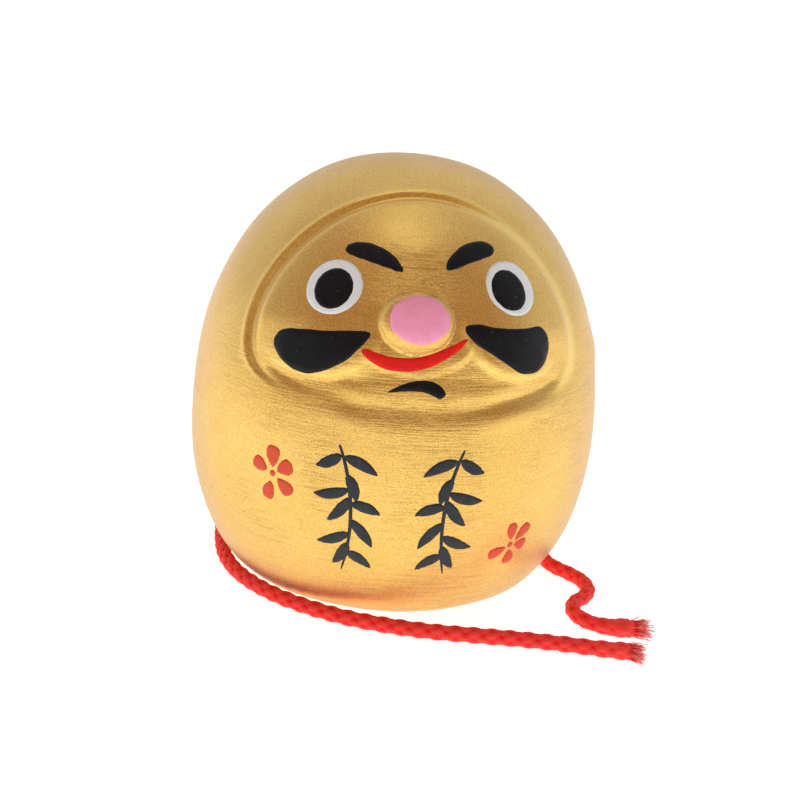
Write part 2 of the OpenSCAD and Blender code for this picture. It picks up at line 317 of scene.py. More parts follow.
def clay_material():
    """Bare fired clay, as inside the shell and on the pellet."""
    n = Nodes("bare_clay")
    place = n.place()
    body = n.ramp(n.noise(place, 0.7, 5.0), (0.3, CLAY_DARK), (0.7, CLAY_LIGHT))
    grit = n.noise(place, 3.5, 4.0)
    n.bumps((grit, 0.6, 0.08))
    return n.shade(Base_Color=body, Roughness=0.9)


def yarn_material():
    """Bright red yarn, with painted shade between the plies, and paler towards loose tips."""
    n = Nodes("red_yarn")
    place = n.place()
    fibres = n.noise(place, 6.0, 3.0)
    tone = n.maths("MULTIPLY_ADD", fibres, 0.12, n.stored("yarn_shading"))
    body = n.ramp(tone, *YARN_SHADE_STOPS)
    n.bumps((fibres, 0.7, 0.05))
    return n.shade(Base_Color=body, Roughness=0.7, Specular_IOR_Level=0.15, Sheen_Weight=0.12,
                   Sheen_Roughness=0.4, Sheen_Tint=(1.0, 0.40, 0.40, 1))


GOLD = gold_material()
CLAY = clay_material()
YARN = yarn_material()
WHITE = paint_material("white_paint", (0.86, 0.97, 1.0), (0.80, 0.93, 1.0), 0.5)
INK = paint_material("ink_paint", (0.004, 0.006, 0.010), (0.002, 0.004, 0.007), 0.45, 0.03)
PINK = paint_material("pink_paint", (1.0, 0.42, 0.64), (0.95, 0.36, 0.57), 0.5)
RED = paint_material("red_paint", (0.86, 0.013, 0.009), (0.78, 0.010, 0.007), 0.5)
BLOSSOM = paint_material("blossom_paint", (0.80, 0.085, 0.045), (0.74, 0.12, 0.05), 0.5)
SPRIG = paint_material("sprig_paint", (0.036, 0.048, 0.058), (0.024, 0.034, 0.043), 0.5, 0.03)


# ---------------------------------------------------------------- cords

CORD_D = 2.1
# The routes repeat part.scad's points
BIGHT_ROUTE = [
    (-5, 22, 44), (-5, 17, 44), (-4.9, 14, 43.9), (-3.6, 11.2, 43.4), (-1.4, 9.8, 43.1),
    (1.4, 9.8, 43.1), (3.6, 11.2, 43.4), (4.9, 14, 43.9), (5, 17, 44), (5, 22, 44)]
LEFT_ROUTE = [
    (-5, 22, 44), (-5, 23.6, 44), (-5, 25.6, 43.4), (-5, 27.2, 41.8), (-5.1, 27.8, 39.6),
    (-5.4, 28.1, 35.4), (-5.8, 28.7, 30.6), (-6.2, 29.2, 25.6), (-6.6, 29.4, 20.6),
    (-7, 29.5, 15.6), (-7.4, 29.5, 10.6), (-7.9, 29.5, 6), (-8.8, 29.4, 3.4), (-10.6, 29, 1.7),
    (-13, 28.1, 1.1), (-16.8, 25.8, 1.1), (-20.1, 22, 1.1), (-22.2, 17, 1.1),
    (-23.2, 11.4, 1.1), (-23.5, 5.6, 1.1), (-23.3, 0, 1.1), (-22.6, -5.2, 1.1),
    (-21, -9.9, 1.1), (-18.5, -14, 1.1), (-15.2, -17.6, 1.1), (-11.4, -20.5, 1.1),
    (-7, -23, 1.1), (-2, -24.9, 1.1), (3.4, -26.3, 1.1), (9, -27.1, 1.1),
    (14.4, -27.8, 1.1), (19.6, -28.7, 1.1), (24.6, -29.8, 1.1), (29.2, -30.6, 1.1)]
RIGHT_ROUTE = [
    (5, 22, 44), (5, 23.6, 44), (5, 25.6, 43.4), (5, 27.2, 41.8), (5.1, 27.8, 39.6),
    (5.4, 28.1, 35.4), (5.8, 28.7, 30.6), (6.2, 29.2, 25.6), (6.6, 29.4, 20.6),
    (7, 29.5, 15.6), (7.4, 29.5, 10.6), (7.9, 29.5, 6), (8.8, 29.4, 3.4), (10.6, 29, 1.7),
    (13, 28.1, 1.1), (16.6, 25.6, 1.1), (19.8, 21.6, 1.1), (22.2, 16.4, 1.1),
    (23.4, 10.8, 1.1), (23.5, 5.6, 1.1), (23.3, 1, 1.1), (23.3, -2.6, 1.1), (24.2, -5.6, 1.1),
    (25.9, -7.8, 1.1), (27.3, -10.2, 1.1), (27.6, -13, 1.1), (26.4, -15.4, 1.1),
    (24.7, -17.2, 1.1), (23.9, -19.6, 1.1), (24.6, -22, 1.1), (26.5, -23.6, 1.1),
    (28.9, -24.2, 1.1), (31.3, -24.1, 1.1)]

# The braid's rings: their distance along the cord, and the points in each
RING_STEP = 0.16
ROUND_STEPS = 40
ROUTE_STEPS = 60
# The braid: how many plies turn each way, how far apart they cross along the cord, how high
# a ply stands, and how much higher it stands where it runs over another
PLIES = 4
CROSSING = 1.15
PLY_RISE = 0.22
WEAVE_RISE = 0.10
# A cut end swells from LOOSE_FROM to LOOSE_TO before its tip, and narrows by the share
# TIP_CLOSES over the last TIP
LOOSE_FROM = 6
LOOSE_TO = 1
TIP = 1.2
TIP_CLOSES = 0.45
# The cord keeps this far above the floor
LOWEST = 0.02
# The tone at the middle of each end face
END_TONES = [0.4, 0.4]


def smooth_route(route):
    """A Catmull-Rom curve through the route, sampled every RING_STEP."""
    p = np.array(route, float)
    p = np.vstack([2 * p[0] - p[1], p, 2 * p[-1] - p[-2]])
    t = np.linspace(0, 1, ROUTE_STEPS, endpoint=False)[:, None]
    rows = []
    for a, b, c, d in zip(p, p[1:], p[2:], p[3:]):
        rows.append(0.5 * (2 * b + (c - a) * t + (2 * a - 5 * b + 4 * c - d) * t ** 2
                           + (3 * b - a - 3 * c + d) * t ** 3))
    fine = np.vstack(rows + [p[-2:-1]])
    run = np.concatenate([[0], np.cumsum(np.linalg.norm(np.diff(fine, axis=0), axis=1))])
    steps = np.linspace(0, run[-1], int(run[-1] / RING_STEP) + 1)
    return np.stack([np.interp(steps, run, fine[:, k]) for k in range(3)], 1), steps


def carried_frames(line):
    """Tangents, and two side vectors that are carried along without twist."""
    along = unit(np.gradient(line, axis=0))
    sides = np.zeros_like(line)
    side = np.array([1.0, 0, 0])
    for i, d in enumerate(along):
        side = unit(side - (side @ d) * d)
        sides[i] = side
    return along, sides, np.cross(along, sides)


def braid_height(turn, run):
    """How high the plies stand at an angle and a place along the cord, from about 0 to 1."""
    across = PLIES * turn / (2 * math.pi)
    a, b = across + run / (2 * CROSSING), across - run / (2 * CROSSING)
    cell_a, cell_b = np.floor(a), np.floor(b)
    fa, fb = a - cell_a, b - cell_b
    over = np.where((cell_a + cell_b) % 2 == 0, 1.0, -1.0)
    ply_a = PLY_RISE * np.sin(math.pi * fa) ** 0.7 + WEAVE_RISE * over * np.sin(math.pi * fb)
    ply_b = PLY_RISE * np.sin(math.pi * fb) ** 0.7 - WEAVE_RISE * over * np.sin(math.pi * fa)
    return np.maximum(ply_a, ply_b) - PLY_RISE - WEAVE_RISE


def braided_tube(name, route, loosen=0.0):
    """The braid's surface swept along a route. Its cut end swells by the share "loosen"."""
    line, run = smooth_route(route)
    _, side, up = carried_frames(line)
    turn = np.linspace(0, 2 * math.pi, ROUND_STEPS, endpoint=False)
    grid_run, grid_turn = np.meshgrid(run, turn, indexing="ij")
    radius = CORD_D / 2 + braid_height(grid_turn, grid_run)
    radius *= 1 + loosen * smooth(run[-1] - LOOSE_FROM, run[-1] - LOOSE_TO, grid_run)
    radius *= 1 - TIP_CLOSES * smooth(run[-1] - TIP, run[-1], grid_run) * (loosen > 0)
    across = np.cos(grid_turn)[..., None] * side[:, None]
    points = line[:, None] + radius[..., None] * (across + np.sin(grid_turn)[..., None] * up[:, None])
    rows, cols = radius.shape
    flat = points.reshape(-1, 3)
    flat[:, 2] = np.maximum(flat[:, 2], LOWEST)
    faces = []
    for row in range(0, (rows - 1) * cols, cols):
        for k in range(cols):
            n = (k + 1) % cols
            faces.append((row + k, row + cols + k, row + cols + n, row + n))
    first, last_row = len(flat), (rows - 1) * cols
    flat = np.vstack([flat, line[0], line[-1]])
    faces += [(first, k, (k + 1) % cols) for k in range(cols)]
    faces += [(first + 1, last_row + (k + 1) % cols, last_row + k) for k in range(cols)]
    piece = new_piece(name, flat, faces, YARN)
    # Painted shade: darker where the surface sinks between the plies, lighter over their tops
    height = (radius / (CORD_D / 2)).ravel()
    store(piece, "yarn_shading", np.concatenate([smooth(0.70, 1.0, height) * 0.5, END_TONES]))
    return piece, line, run[-1]


# Loose filaments at a cut end, and their tone from painted shade at the root to paler tips
FILAMENTS = 190
FILAMENT_D = 0.15
FILAMENT_SIDES = 4
FILAMENT_JOINTS = 6
ROOT_SHADE = 0.40
TIP_PALER = 0.42


def frayed_end(name, line, spread, reach, seed):
    """Loose filaments that stand out of a cut end and come to rest near the floor."""
    rng = random.Random(seed)
    shading = []
    tip, along = line[-1], unit(line[-1] - line[-6])
    side = unit(np.cross(along, (0, 0, 1.0)))
    up = np.cross(side, along)
    points, faces = [], []
    for _ in range(FILAMENTS):
        angle, ring = rng.uniform(0, 2 * math.pi), math.sqrt(rng.random())
        out = math.cos(angle) * side + math.sin(angle) * up
        start = tip - along * TIP * rng.uniform(0.2, 1.3) + out * ring * CORD_D * 0.46
        length = TIP + reach * rng.uniform(0.2, 1.0)
        splay = spread * ring * rng.uniform(0.3, 1.2)
        curl = rng.uniform(-0.35, 0.35) * side + rng.uniform(-0.3, 0.1) * up
        path = []
        for j in range(FILAMENT_JOINTS):
            t = j / (FILAMENT_JOINTS - 1)
            p = start + along * length * t + out * splay * length * t ** 1.4 + curl * length * t * t
            p[2] = max(p[2], FILAMENT_D)
            path.append(p)
        base = len(points)
        for j, p in enumerate(path):
            thin = FILAMENT_D / 2 * (1 - 0.5 * j / (FILAMENT_JOINTS - 1))
            for k in range(FILAMENT_SIDES):
                a = 2 * math.pi * k / FILAMENT_SIDES
                points.append(p + thin * (math.cos(a) * side + math.sin(a) * up))
                shading.append(ROOT_SHADE + TIP_PALER * j / (FILAMENT_JOINTS - 1))
        for j in range(FILAMENT_JOINTS - 1):
            for k in range(FILAMENT_SIDES):
                n = (k + 1) % FILAMENT_SIDES
                row, above = base + j * FILAMENT_SIDES, base + (j + 1) * FILAMENT_SIDES
                faces.append((row + k, row + n, above + n, above + k))
        faces.append(tuple(base + k for k in reversed(range(FILAMENT_SIDES))))
        last = base + (FILAMENT_JOINTS - 1) * FILAMENT_SIDES
        faces.append(tuple(last + k for k in range(FILAMENT_SIDES)))
    piece = new_piece(name, points, faces, YARN)
    store(piece, "yarn_shading", shading)
    return piece


def make_cord(name, route, loosen, spread, reach, seed):
    """One free end of the cord: its braid and the filaments at its cut end."""
    piece, line, length = braided_tube(name + "_braid", route, loosen)
    settle(piece, [name])
    fray = frayed_end(name + "_fray", line, spread, reach, seed)
    settle(fray, [])


make_cord("cord_left", LEFT_ROUTE, 0.10, 0.30, 0.7, 11)
make_cord("cord_right", RIGHT_ROUTE, 0.28, 0.40, 1.5, 12)
bight, _, _ = braided_tube("cord_bight_braid", BIGHT_ROUTE)
settle(bight, ["cord_bight"])


# ---------------------------------------------------------------- the body's shape

shell_low, shell_high = (np.array(c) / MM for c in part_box("back_shell"))
BELLY_R = (shell_high[0] - shell_low[0]) / 2
BODY_H = shell_high[2]
BELLY_Z = BODY_H * 0.36
BASE_BLEND = 2.6
# Exponents of the outline above and below the belly: of the radius, and of the height
TOP_ROUND = (2.15, 2.25)
LOW_ROUND = (3.0, 2.15)
LOW_DEPTH = BELLY_Z * 1.25


def body_r(z):
    """Radius of the body at height z, before its base edge is rounded."""
    z = np.asarray(z, float)
    high = np.clip((z - BELLY_Z) / (BODY_H - BELLY_Z), 0, 1) ** TOP_ROUND[1]
    low = np.clip((BELLY_Z - z) / LOW_DEPTH, 0, 1) ** LOW_ROUND[1]
    return BELLY_R * np.where(z > BELLY_Z, np.clip(1 - high, 0, 1) ** (1 / TOP_ROUND[0]),
                              (1 - low) ** (1 / LOW_ROUND[0]))


def lean(z):
    """Lean of the surface at height z: 0 is upright, a right angle faces straight up."""
    return math.atan((body_r(z - 0.05) - body_r(z + 0.05)) / 0.1)


# The rows are dense between these heights, where the face is carved
FACE_FOOT = 26.0
FACE_TOP = 54.0
COARSE_ROW = 0.42
FINE_ROW = 0.19
CROWN_ROWS = 40


def profile():
    """Points and outward normals of the outline from the base to the crown, dense at the face."""
    under = -lean(BASE_BLEND)
    base_round = BASE_BLEND / (1 - math.sin(under))
    flat = float(body_r(BASE_BLEND)) - base_round * math.cos(under)
    a = np.linspace(0, math.pi / 2 - under, 30)
    base = np.stack([flat + base_round * np.sin(a), base_round * (1 - np.cos(a))], 1)
    z = BASE_BLEND + (BELLY_Z - BASE_BLEND) * np.linspace(0, 1, 200)[1:]
    low = np.stack([body_r(z), z], 1)
    a = np.linspace(0, math.pi / 2, 600)[1:]
    top = np.stack([BELLY_R * np.cos(a) ** (2 / TOP_ROUND[0]),
                    BELLY_Z + (BODY_H - BELLY_Z) * np.sin(a) ** (2 / TOP_ROUND[1])], 1)
    top[-1, 0] = 0
    line = np.vstack([base, low, top])
    run = np.concatenate([[0], np.cumsum(np.linalg.norm(np.diff(line, axis=0), axis=1))])
    foot, top = (np.interp(z, line[:, 1], run) for z in (FACE_FOOT, FACE_TOP))
    steps = np.concatenate([np.arange(0, foot, COARSE_ROW), np.arange(foot, top, FINE_ROW),
                            np.linspace(top, run[-1], CROWN_ROWS)])
    pts = np.stack([np.interp(steps, run, line[:, k]) for k in range(2)], 1)
    d = unit(np.gradient(pts, axis=0))
    normals = np.stack([d[:, 1], -d[:, 0]], 1)
    normals[-1] = (0, 1)
    return pts, normals


# ---------------------------------------------------------------- the face's relief

# The edge of the face is drawn in a plane that leans back by FACE_TILT: its half width, the
# level where it is widest, its reach above and below that, and its exponents there
FACE_TILT = math.radians(25)
FACE_HALF_W = 20.2
FACE_MID = 25.2
FACE_RISE = 17.7
FACE_DROP = 9.4
FACE_ROUND = (1.85, 2.3)


def face_coords(x, y, z):
    """Place across and up the leaning plane."""
    return x, y * math.sin(FACE_TILT) + z * math.cos(FACE_TILT) - FACE_MID


def edge_distance(u, v):
    """Distance outside the edge of the face, negative inside it."""
    tall = np.where(v > 0, FACE_RISE, FACE_DROP)
    n = np.where(v > 0, *FACE_ROUND)
    ratio = (np.abs(u / FACE_HALF_W) ** n + np.abs(v / tall) ** n) ** (1 / n)
    ratio = np.maximum(ratio, 1e-3)
    return np.hypot(u, v) * (1 - 1 / ratio)


def mound(x, z, centre, half, turn, inner, rise, slope):
    """An oval mound whose lower edge is a slope of the given width; it has no upper edge.

    The end on the inner side (1 or -1, or 0 for neither) runs out gently.
    """
    c, s = math.cos(math.radians(turn)), math.sin(math.radians(turn))
    a, b = x - centre[0], z - centre[1]
    p, q = a * c + b * s, -a * s + b * c
    width = slope + 5 * np.maximum(q + 0.5, 0) + 1.6 * np.maximum(inner * p - 3.0, 0)
    width += 2.4 * np.maximum(-inner * p - 4.0, 0) * smooth(-3.0, -1.0, q)
    inside = (1 - np.hypot(p / half[0], np.where(q > 0, q * 0.35, q) / half[1])) * min(half)
    return rise * smooth(-width / 2, width / 2, inside)


# Mounds: (x, z) of the middle, half sizes, turn, inner side, rise, width of the slope
CHEEK_LEFT = ((-12.1, 36.8), (6.9, 3.7), 10, 1, 0.70, 1.4)
CHEEK_RIGHT = ((11.2, 38.1), (6.7, 4.0), -22, -1, 0.70, 1.4)
UPPER_LIP = ((-0.9, 38.4), (7.6, 4.1), 2, 0, 0.52, 1.0)
# The three blend where they meet, the more sharply the higher this exponent
MOUND_BLEND = 6
NOSE = ((-0.80, 40.15), (4.4, 3.45))
NOSE_RISE = 1.6
# Swellings that fade out all round: (height, (x, z) of the middle, half sizes)
BRIDGE = (0.20, (-0.8, 45.5), (2.6, 3.0))
CHIN = (0.12, (-0.3, 32.0), (7.0, 1.8))
BROW = (0.25, (-0.5, 48.5), (6.0, 3.5))
# The carved line: (depth, distance outside the edge, width of its outer and inner wall). It is
# narrow on the left, with a lip outside it, and shallow on the right
NARROW_LINE = (0.46, 0.1, 0.34, 0.66)
SHALLOW_LINE = (0.24, 0.6, 1.7, 1.2)
LIP = (0.12, 0.85, 0.32)
# Below, the edge is a soft fold between two swellings: (height, distance outside, width)
FOLD = ((0.14, 2.3, 1.5), (-0.34, -0.2, 1.2), (0.08, -2.6, 1.2))
# The face swells towards its middle, and is hollow between the cheeks and the fold
FACE_SWELL = 0.30
JAW_HOLLOW = 0.38
# Painted highlight bands along the face's edge: (how much, distance outside the edge, width)
HIGHLIGHT_RIGHT = (1.3, 0.1, 0.62)
HIGHLIGHT_INSIDE = (0.9, -0.45, 0.34)
HIGHLIGHT_LIP = (0.6, 0.95, 0.22)


def ridge(x, height, middle, width):
    """A bell-shaped ridge, or a trough where its height is negative."""
    return height * bump(x, middle, width)


def swelling(x, z, height, middle, half):
    """An oval swelling that fades out all round."""
    return height * bump(np.hypot((x - middle[0]) / half[0], (z - middle[1]) / half[1]), 0, 1)


def nose_coord(x, z):
    """0 at the middle of the nose, 1 at its rim."""
    return np.hypot((x - NOSE[0][0]) / NOSE[1][0], (z - NOSE[0][1]) / NOSE[1][1])


def edge_places(x, y, z):
    """Distance outside the face's edge, how far it is carved there, and how far to the right."""
    u, v = face_coords(x, y, z)
    upper = smooth(-0.40, -0.12, v / np.maximum(np.hypot(u, v), 1e-3))
    return edge_distance(u, v), upper, smooth(0, 13, x)


def painted_highlight(x, y, z):
    """How strong the painted highlight is, from 0 to 1: along the carved edge, under the cheek mounds
    and under the nose.
    """
    s, upper, right = edge_places(x, y, z)
    left_band = ridge(s, *HIGHLIGHT_INSIDE) + ridge(s, *HIGHLIGHT_LIP)
    band = right * ridge(s, *HIGHLIGHT_RIGHT) + (1 - right) * left_band
    # Painted highlight along the lower rim of each cheek mound, and a crescent at the nose's lower
    # rim
    rims = np.zeros_like(x)
    for (cx, cz), (a, b), turn, *_ in (CHEEK_LEFT, CHEEK_RIGHT):
        c, d = math.cos(math.radians(turn)), math.sin(math.radians(turn))
        p, q = (x - cx) * c + (z - cz) * d, -(x - cx) * d + (z - cz) * c
        rims += bump((1 - np.hypot(p / a, q / b)) * min(a, b), 0.10, 0.27) * smooth(0.3, -1.2, q)
    below_nose = (z - NOSE[0][1]) + 0.8 * (x - NOSE[0][0])
    under_nose = bump(nose_coord(x, z), 1.0, 0.07) * smooth(1.5, -2.5, below_nose)
    return np.clip(upper * band + rims + 0.8 * under_nose, 0, 1) * smooth(0, -6, y)


def relief(x, y, z):
    """Height of the sculpted surface over the plain body, in millimetres."""
    s, upper, right = edge_places(x, y, z)
    narrow = ridge(s, *LIP) - NARROW_LINE[0] * trough(s, *NARROW_LINE[1:])
    shallow = -SHALLOW_LINE[0] * trough(s, *SHALLOW_LINE[1:])
    line = (1 - right) * narrow + right * shallow
    # The fold lies further in at both sides, and almost runs out on the left
    t = s + smooth(3, 14, x) + 0.4 * smooth(-5, -13, x)
    fold = sum(ridge(t, *part) for part in FOLD) * (1 - 0.72 * smooth(-4, -13, x))
    h = upper * line + (1 - upper) * fold + FACE_SWELL * smooth(-1.5, -9.0, s)
    inside = smooth(0, -1.5, s)
    _, v = face_coords(x, y, z)
    h = h - JAW_HOLLOW * inside * smooth(-9.2, -5.0, v) * smooth(3.0, -2.0, v)
    mounds = [mound(x, z, *part) for part in (CHEEK_LEFT, CHEEK_RIGHT, UPPER_LIP)]
    raised = sum(m ** MOUND_BLEND for m in mounds) ** (1 / MOUND_BLEND) * smooth(46.0, 38.0, z)
    for part in (BRIDGE, CHIN, BROW):
        raised = raised + swelling(x, z, *part)
    h = h + inside * raised
    # The nose: a low oval dome with a rim just wider than its paint
    h = h + inside * NOSE_RISE * np.clip(1 - np.clip(nose_coord(x, z), 0, 1) ** 2.6, 0, 1) ** 0.7
    # The hood ends at the side in a slight shoulder, and no clay surface is quite even
    shoulder = 0.25 * bump(z, 34.0, 2.2) * smooth(16, 24, x) * smooth(-16, -8, y)
    uneven = 0.05 * np.sin(x * 0.37 + 1.3) * np.sin(z * 0.31 + y * 0.29)
    return smooth(0, -6, y) * h + shoulder + uneven


# ---------------------------------------------------------------- the gold shell

# Azimuths, in degrees: dense in front, coarser beside it, and coarse behind
FACE_AZIMUTH = 56
FACE_STEP = 0.38
SIDE_AZIMUTH = 84
SIDE_STEP = 0.8
BACK_STEP = 2.0


def skin_grid():
    """The outer surface as a closed mesh with a flat bottom."""
    az = np.radians(np.concatenate([
        np.arange(-SIDE_AZIMUTH, -FACE_AZIMUTH, SIDE_STEP),
        np.arange(-FACE_AZIMUTH, FACE_AZIMUTH, FACE_STEP),
        np.arange(FACE_AZIMUTH, SIDE_AZIMUTH, SIDE_STEP),
        np.arange(SIDE_AZIMUTH, 360 - SIDE_AZIMUTH - 0.5 * BACK_STEP, BACK_STEP)]))
    pts, normals = profile()
    out = np.stack([np.sin(az), -np.cos(az)], 1)
    xy = pts[:, None, :1] * out[None]
    base = np.concatenate([xy, np.repeat(pts[:, None, 1:], len(az), 1)], 2)
    push = np.concatenate([normals[:, None, :1] * out[None],
                           np.repeat(normals[:, None, 1:], len(az), 1)], 2)
    skin = base + push * relief(base[..., 0], base[..., 1], base[..., 2])[..., None]
    skin[0, :, 2] = 0
    skin[..., 2] = np.maximum(skin[..., 2], 0)
    rows, cols = len(pts) - 1, len(az)
    points = np.vstack([skin[:rows].reshape(-1, 3), skin[-1, :1], [[0, 0, 0]]])
    crown, foot = len(points) - 2, len(points) - 1
    faces = []
    for row in range(0, (rows - 1) * cols, cols):
        for k in range(cols):
            n = (k + 1) % cols
            faces.append((row + k, row + n, row + cols + n, row + cols + k))
    last_row = (rows - 1) * cols
    faces += [(last_row + k, last_row + (k + 1) % cols, crown) for k in range(cols)]
    faces += [(foot, (k + 1) % cols, k) for k in range(cols)]
    return points, faces


# The hollow, the sound slot in the base and the cord holes, as in part.scad
HOLLOW_R = 24.0
HOLLOW_Z = 28.0
SLOT_W = 4.4
SLOT_L = 22.0
SLOT_END_R = 3.2
HOLE_R = 1.35
HOLE_X = 5.0
HOLE_Z = 44.0
# The cutters of the slot and of the holes: where their middles are, and their lengths
SLOT_CUT_Z = 3
SLOT_CUT_LENGTH = 20
HOLE_CUT_Y = 20
HOLE_CUT_LENGTH = 14


def cut(piece, tool):
    """Takes the tool's shape away from the piece, and deletes the tool."""
    modifier = piece.modifiers.new("cut", "BOOLEAN")
    modifier.operation = "DIFFERENCE"
    modifier.solver = "EXACT"
    modifier.object = tool
    with bpy.context.temp_override(object=piece, active_object=piece):
        bpy.ops.object.modifier_apply(modifier=modifier.name)
    bpy.data.objects.remove(tool, do_unlink=True)


def cylinder_cutter(radius, length, centre, axis="Z"):
    turn = {"Z": (0, 0, 0), "Y": (math.pi / 2, 0, 0)}[axis]
    bpy.ops.mesh.primitive_cylinder_add(vertices=64, radius=radius * MM, depth=length * MM,
                                        location=[c * MM for c in centre], rotation=turn)
    return bpy.context.object


def make_shell():
    """The hollow gold body with its sound slot and cord holes; bare clay inside."""
    points, faces = skin_grid()
    shell = new_piece("gold_shell", points, faces, GOLD)
    bpy.ops.mesh.primitive_uv_sphere_add(segments=96, ring_count=64, radius=HOLLOW_R * MM,
                                         location=(0, 0, HOLLOW_Z * MM))
    hollow = bpy.context.object
    hollow.data.materials.append(CLAY)
    cut(shell, hollow)
    bpy.ops.mesh.primitive_cube_add(size=1, location=(0, 0, SLOT_CUT_Z * MM))
    slot = bpy.context.object
    slot.scale = (SLOT_L * MM, SLOT_W * MM, SLOT_CUT_LENGTH * MM)
    cut(shell, slot)
    for x in (-SLOT_L / 2, SLOT_L / 2):
        cut(shell, cylinder_cutter(SLOT_END_R, SLOT_CUT_LENGTH, (x, 0, SLOT_CUT_Z)))
    for x in (-HOLE_X, HOLE_X):
        cut(shell, cylinder_cutter(HOLE_R, HOLE_CUT_LENGTH, (x, HOLE_CUT_Y, HOLE_Z), "Y"))
    shell.data.shade_smooth()
    shell.data.set_sharp_from_angle(angle=math.radians(50))
    at = np.array([v.co for v in shell.data.vertices]) / MM
    outside = np.hypot(np.hypot(at[:, 0], at[:, 1]), at[:, 2] - HOLLOW_Z) > HOLLOW_R + 0.5
    # The painted highlight, kept off the inside of the shell
    store(shell, "painted_highlight", painted_highlight(*at.T) * outside)
    return settle(shell, ["face_shell", "back_shell"])


shell = make_shell()
shell_surface = BVHTree.FromObject(shell, bpy.context.evaluated_depsgraph_get())


# ---------------------------------------------------------------- painted marks

STROKE_STEPS = 60
# A film of paint: how high it stands, how far it reaches in, the width of its rounded edge
# and the distance between its inner points
FILM_RISE = 0.07
FILM_SINK = 0.06
FILM_EDGE = 0.22
FILM_GRID = 0.28
FILM_LEAST = 0.01


def stroke(a, b, c, w, start, end):
    """Outline of a brush stroke along a curve from a to c with control point b."""
    a, b, c = (np.array(p, float) for p in (a, b, c))
    t = ((1 - np.cos(np.linspace(0, math.pi, STROKE_STEPS))) / 2)[:, None]
    middle = a * (1 - t) ** 2 + b * 2 * t * (1 - t) + c * t ** 2
    d = unit((b - a) * (1 - t) + (c - b) * t)
    peak = (start / (start + end)) ** start * (end / (start + end)) ** end
    wide = w * t ** start * (1 - t) ** end / peak * np.stack([-d[:, 1], d[:, 0]], 1)
    return np.vstack([middle - wide, (middle + wide)[-2:0:-1]])


def oval(half_w, half_h, centre=(0, 0), steps=96):
    a = np.linspace(0, 2 * math.pi, steps, endpoint=False)
    return np.stack([centre[0] + half_w * np.cos(a), centre[1] + half_h * np.sin(a)], 1)


def blot(edge, steps=12):
    """A closed smooth outline through the points of its edge."""
    b = np.array(edge, float)
    a, c, d = np.roll(b, 1, 0), np.roll(b, -1, 0), np.roll(b, -2, 0)
    rows = [(2 * b + (c - a) * t + (2 * a - 5 * b + 4 * c - d) * t ** 2
             + (3 * b - a - 3 * c + d) * t ** 3) / 2 for t in np.arange(steps) / steps]
    return np.stack(rows, 1).reshape(-1, 2)


def turned(outline, degrees, shift=(0, 0)):
    a = math.radians(degrees)
    return outline @ np.array([[math.cos(a), math.sin(a)], [-math.sin(a), math.cos(a)]]) + shift


def hand_drawn(outline, amount, seed):
    """A slight waver of the outline, as a brush leaves it."""
    rng = random.Random(seed)
    n = len(outline)
    wave = sum(rng.uniform(-1, 1) * np.sin(2 * math.pi * k * np.arange(n) / n + rng.uniform(0, 6))
               for k in (3, 5, 8, 13)) / 2
    d = unit(np.roll(outline, -1, 0) - np.roll(outline, 1, 0))
    return outline + amount * wave[:, None] * np.stack([d[:, 1], -d[:, 0]], 1)


def surface_frame(az, z):
    """A point of the plain body with its outward normal, and the ways across and up."""
    az, tip = math.radians(az), lean(z)
    out = np.array([math.sin(az), -math.cos(az), 0])
    normal = out * math.cos(tip) + np.array([0, 0, math.sin(tip)])
    across = np.array([math.cos(az), math.sin(az), 0])
    return out * float(body_r(z)) + np.array([0, 0, z]), normal, across, np.cross(normal, across)


def film_mesh(outline):
    """Flat points and triangles that fill an outline."""
    low, high = outline.min(0), outline.max(0)
    across, up = (np.arange(a, b, FILM_GRID) for a, b in zip(low, high))
    grid = np.stack([g.ravel() for g in np.meshgrid(across, up)], 1)
    gap = np.linalg.norm(grid[:, None] - outline[None], axis=2).min(1)
    grid = grid[gap > FILM_GRID * 0.6]
    n = len(outline)
    points = [Vector(p) for p in np.vstack([outline, grid])]
    edges = [(i, (i + 1) % n) for i in range(n)]
    verts, _, faces, _, _, _ = geometry.delaunay_2d_cdt(points, edges, [list(range(n))], 1, 1e-5)
    return np.array([tuple(v) for v in verts]), [tuple(f) for f in faces]


def drape(flat, place, lift):
    """Lays flat points on the shell by looking for it along the place's normal."""
    origin, normal, across, up = place
    out = []
    for (a, b), rise in zip(flat, lift):
        start = origin + a * across + b * up + 6 * normal
        hit, face_normal, _, _ = shell_surface.ray_cast(Vector(start * MM), Vector(-normal))
        if hit is None:
            raise RuntimeError("a painted mark misses the shell")
        out.append(np.array(hit) / MM + rise * np.array(face_normal))
    return np.array(out)


def paint(name, az, z, outlines, material, slot, layer=0):
    """A closed film of paint over one or more outlines, laid on the sculpted shell."""
    place = surface_frame(az, z)
    points, faces = [], []
    for outline in outlines:
        flat, tris = film_mesh(outline)
        gap = np.linalg.norm(flat[:, None] - outline[None], axis=2).min(1)
        shape = smooth(-0.02, FILM_EDGE, gap)
        top = drape(flat, place, layer * FILM_RISE + FILM_LEAST + FILM_RISE * shape)
        under = drape(flat, place, np.full(len(flat), -FILM_SINK))
        base, n = len(points), len(flat)
        points += list(top) + list(under)
        faces += [tuple(base + i for i in t) for t in tris]
        faces += [tuple(base + n + i for i in reversed(t)) for t in tris]
        sides = {side: None for t in tris for side in zip(t, t[1:] + t[:1])}
        rim = [(i, j) for i, j in sides if (j, i) not in sides]
        faces += [(base + j, base + i, base + n + i, base + n + j) for i, j in rim]
    piece = new_piece(name + "_film", points, faces, material)
    return settle(piece, [name])


